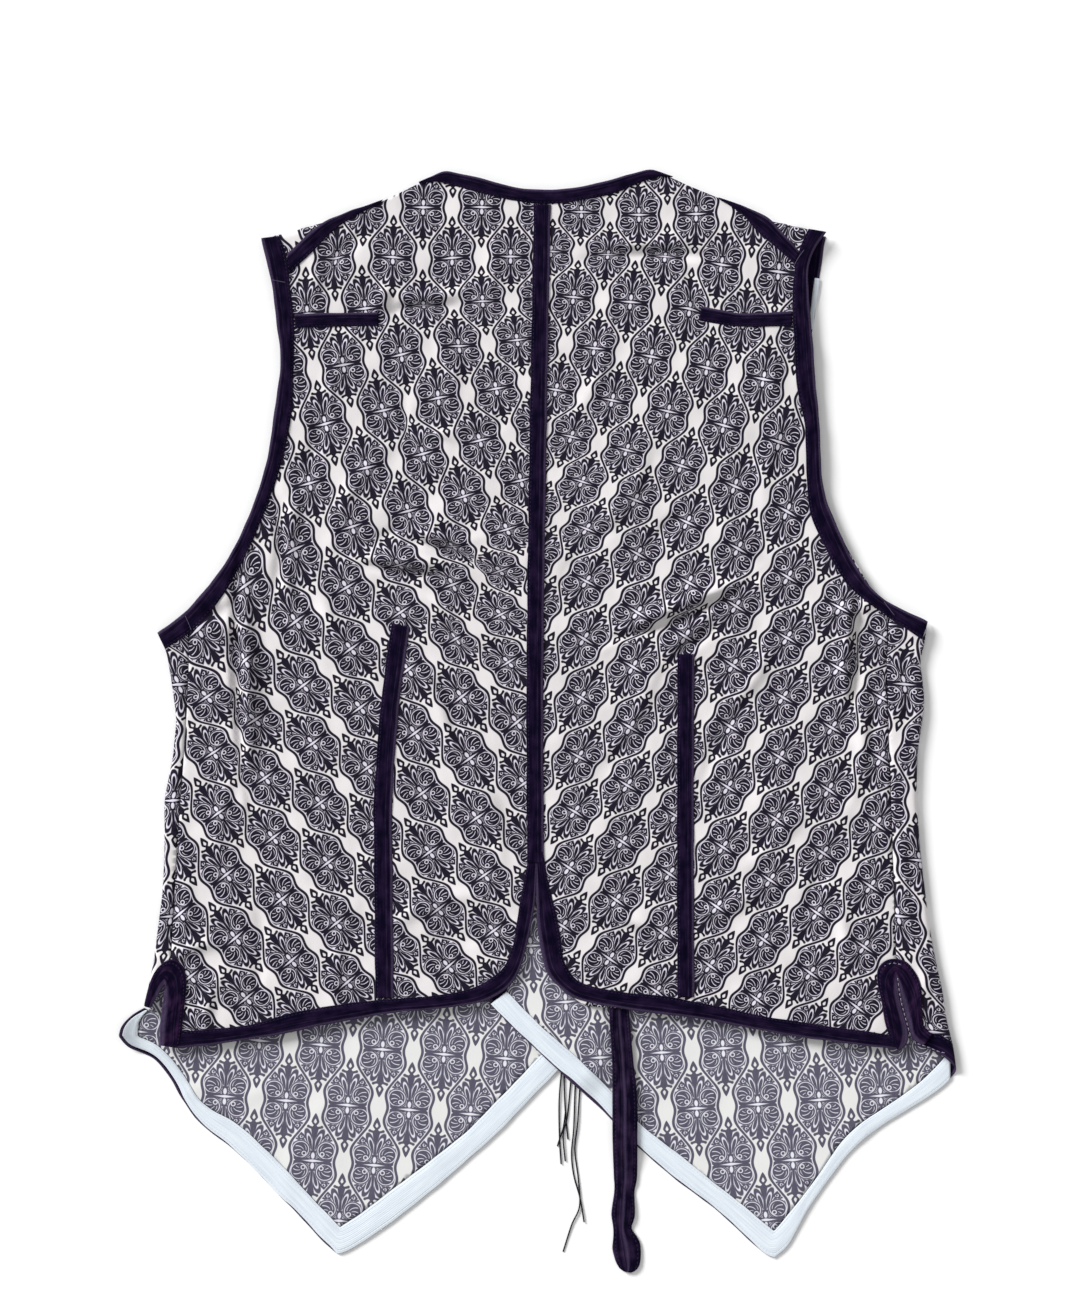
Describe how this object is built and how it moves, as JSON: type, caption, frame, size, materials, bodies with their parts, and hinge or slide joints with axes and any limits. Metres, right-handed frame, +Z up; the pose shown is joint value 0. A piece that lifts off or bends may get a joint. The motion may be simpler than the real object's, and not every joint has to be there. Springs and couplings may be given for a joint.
{
  "type": "waistcoat",
  "caption": "Sleeveless waistcoat of printed cotton trimmed with velvet ribbon, laid face down with its back uppermost.",
  "frame": {"origin": "centre of the garment's footprint on the table", "axes": "+X towards the wearer's right side, +Y towards the neck, +Z up from the table"},
  "size_m": [0.5434, 0.7158, 0.0086],
  "materials": {
    "printed_cotton": "light woven cotton printed with a dark damask",
    "velvet_ribbon": "dark aubergine velvet ribbon with a short nap",
    "velvet_strap": "folded and stitched velvet ribbon",
    "pale_tape": "pale ribbed facing tape",
    "dark_thread": "loose dark sewing thread"
  },
  "bodies": {
    "root": {"back_left": "printed_cotton", "back_right": "printed_cotton", "front_left": "printed_cotton", "front_right": "printed_cotton", "neck_ribbon": "velvet_ribbon", "centre_back_ribbon": "velvet_ribbon", "shoulder_ribbon_left": "velvet_ribbon", "shoulder_ribbon_right": "velvet_ribbon", "armhole_ribbon_left": "velvet_ribbon", "armhole_ribbon_right": "velvet_ribbon", "yoke_ribbon_left": "velvet_ribbon", "yoke_ribbon_right": "velvet_ribbon", "dart_ribbon_left": "velvet_ribbon", "dart_ribbon_right": "velvet_ribbon", "hem_ribbon_left": "velvet_ribbon", "hem_ribbon_right": "velvet_ribbon", "vent_ribbon_left": "velvet_ribbon", "vent_ribbon_right": "velvet_ribbon", "front_hem_ribbon_left": "velvet_ribbon", "front_hem_ribbon_right": "velvet_ribbon", "front_centre_ribbon_left": "velvet_ribbon", "front_centre_ribbon_right": "velvet_ribbon", "front_armhole_ribbon_left": "velvet_ribbon", "front_armhole_ribbon_right": "velvet_ribbon", "front_hem_tape_left": "pale_tape", "front_hem_tape_right": "pale_tape", "front_armhole_tape_right": "pale_tape", "tie_strap": "velvet_strap", "loose_threads": "dark_thread"}
  },
  "joints": []
}
